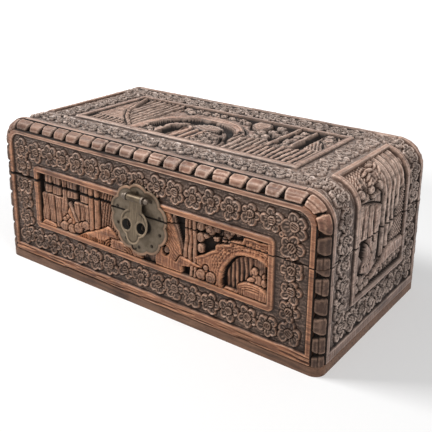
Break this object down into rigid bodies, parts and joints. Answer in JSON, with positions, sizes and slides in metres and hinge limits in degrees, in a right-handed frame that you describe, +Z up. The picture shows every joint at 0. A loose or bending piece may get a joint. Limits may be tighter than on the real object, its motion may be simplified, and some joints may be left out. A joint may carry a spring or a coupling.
{
  "type": "wooden jewelry box",
  "caption": "Carved wooden jewelry box with round-shouldered hinged lid, bead-carved edges, picture panels and a lobed brass lock plate with hasp.",
  "frame": {"origin": "middle of the underside of the base board", "axes": "+X along the long front towards the viewer's right, -Y out of the front with the lock, +Z up"},
  "size_m": [0.3, 0.1643, 0.122],
  "materials": {
    "carved_wood": "oiled, carved camphor wood, worn on the high parts",
    "bead_wood": "oiled, worn smooth",
    "base_wood": "oiled, planed",
    "plate_brass": "aged brass sheet, dull with worn rims",
    "wire_brass": "aged brass wire and nails",
    "hinge_brass": "aged brass"
  },
  "bodies": {
    "case": {"base_board": "base_wood", "case_front": "carved_wood", "case_back": "carved_wood", "case_left_end": "carved_wood", "case_right_end": "carved_wood", "case_bead_front_left": "bead_wood", "case_bead_front_right": "bead_wood", "case_bead_back_left": "bead_wood", "case_bead_back_right": "bead_wood", "lower_lock_plate": "plate_brass", "lower_plate_nails": "wire_brass", "hasp_staples": "wire_brass", "left_hinge_case_leaf": "hinge_brass", "right_hinge_case_leaf": "hinge_brass", "left_hinge_pin": "hinge_brass", "right_hinge_pin": "hinge_brass", "case_hinge_screws": "hinge_brass"},
    "lid": {"lid_top": "carved_wood", "lid_front_rail": "carved_wood", "lid_back_rail": "carved_wood", "lid_left_end": "carved_wood", "lid_right_end": "carved_wood", "lid_bead_front": "bead_wood", "lid_bead_back": "bead_wood", "upper_lock_plate": "plate_brass", "upper_plate_nails": "wire_brass", "hasp_pin_eyes": "wire_brass", "hasp_pin": "wire_brass", "left_hinge_lid_leaf": "hinge_brass", "right_hinge_lid_leaf": "hinge_brass", "lid_hinge_screws": "hinge_brass"},
    "hasp": {"hasp": "plate_brass"}
  },
  "joints": [
    {"name": "lid_hinge", "type": "hinge", "parent": "case", "child": "lid", "pos_m": [0, 0.0756, 0.0752], "axis": [-1, 0, 0], "range_deg": [0, 100]},
    {"name": "hasp_swing", "type": "hinge", "parent": "lid", "child": "hasp", "pos_m": [0, -0.082, 0.088], "axis": [-1, 0, 0], "range_deg": [-10.5, 175]}
  ]
}
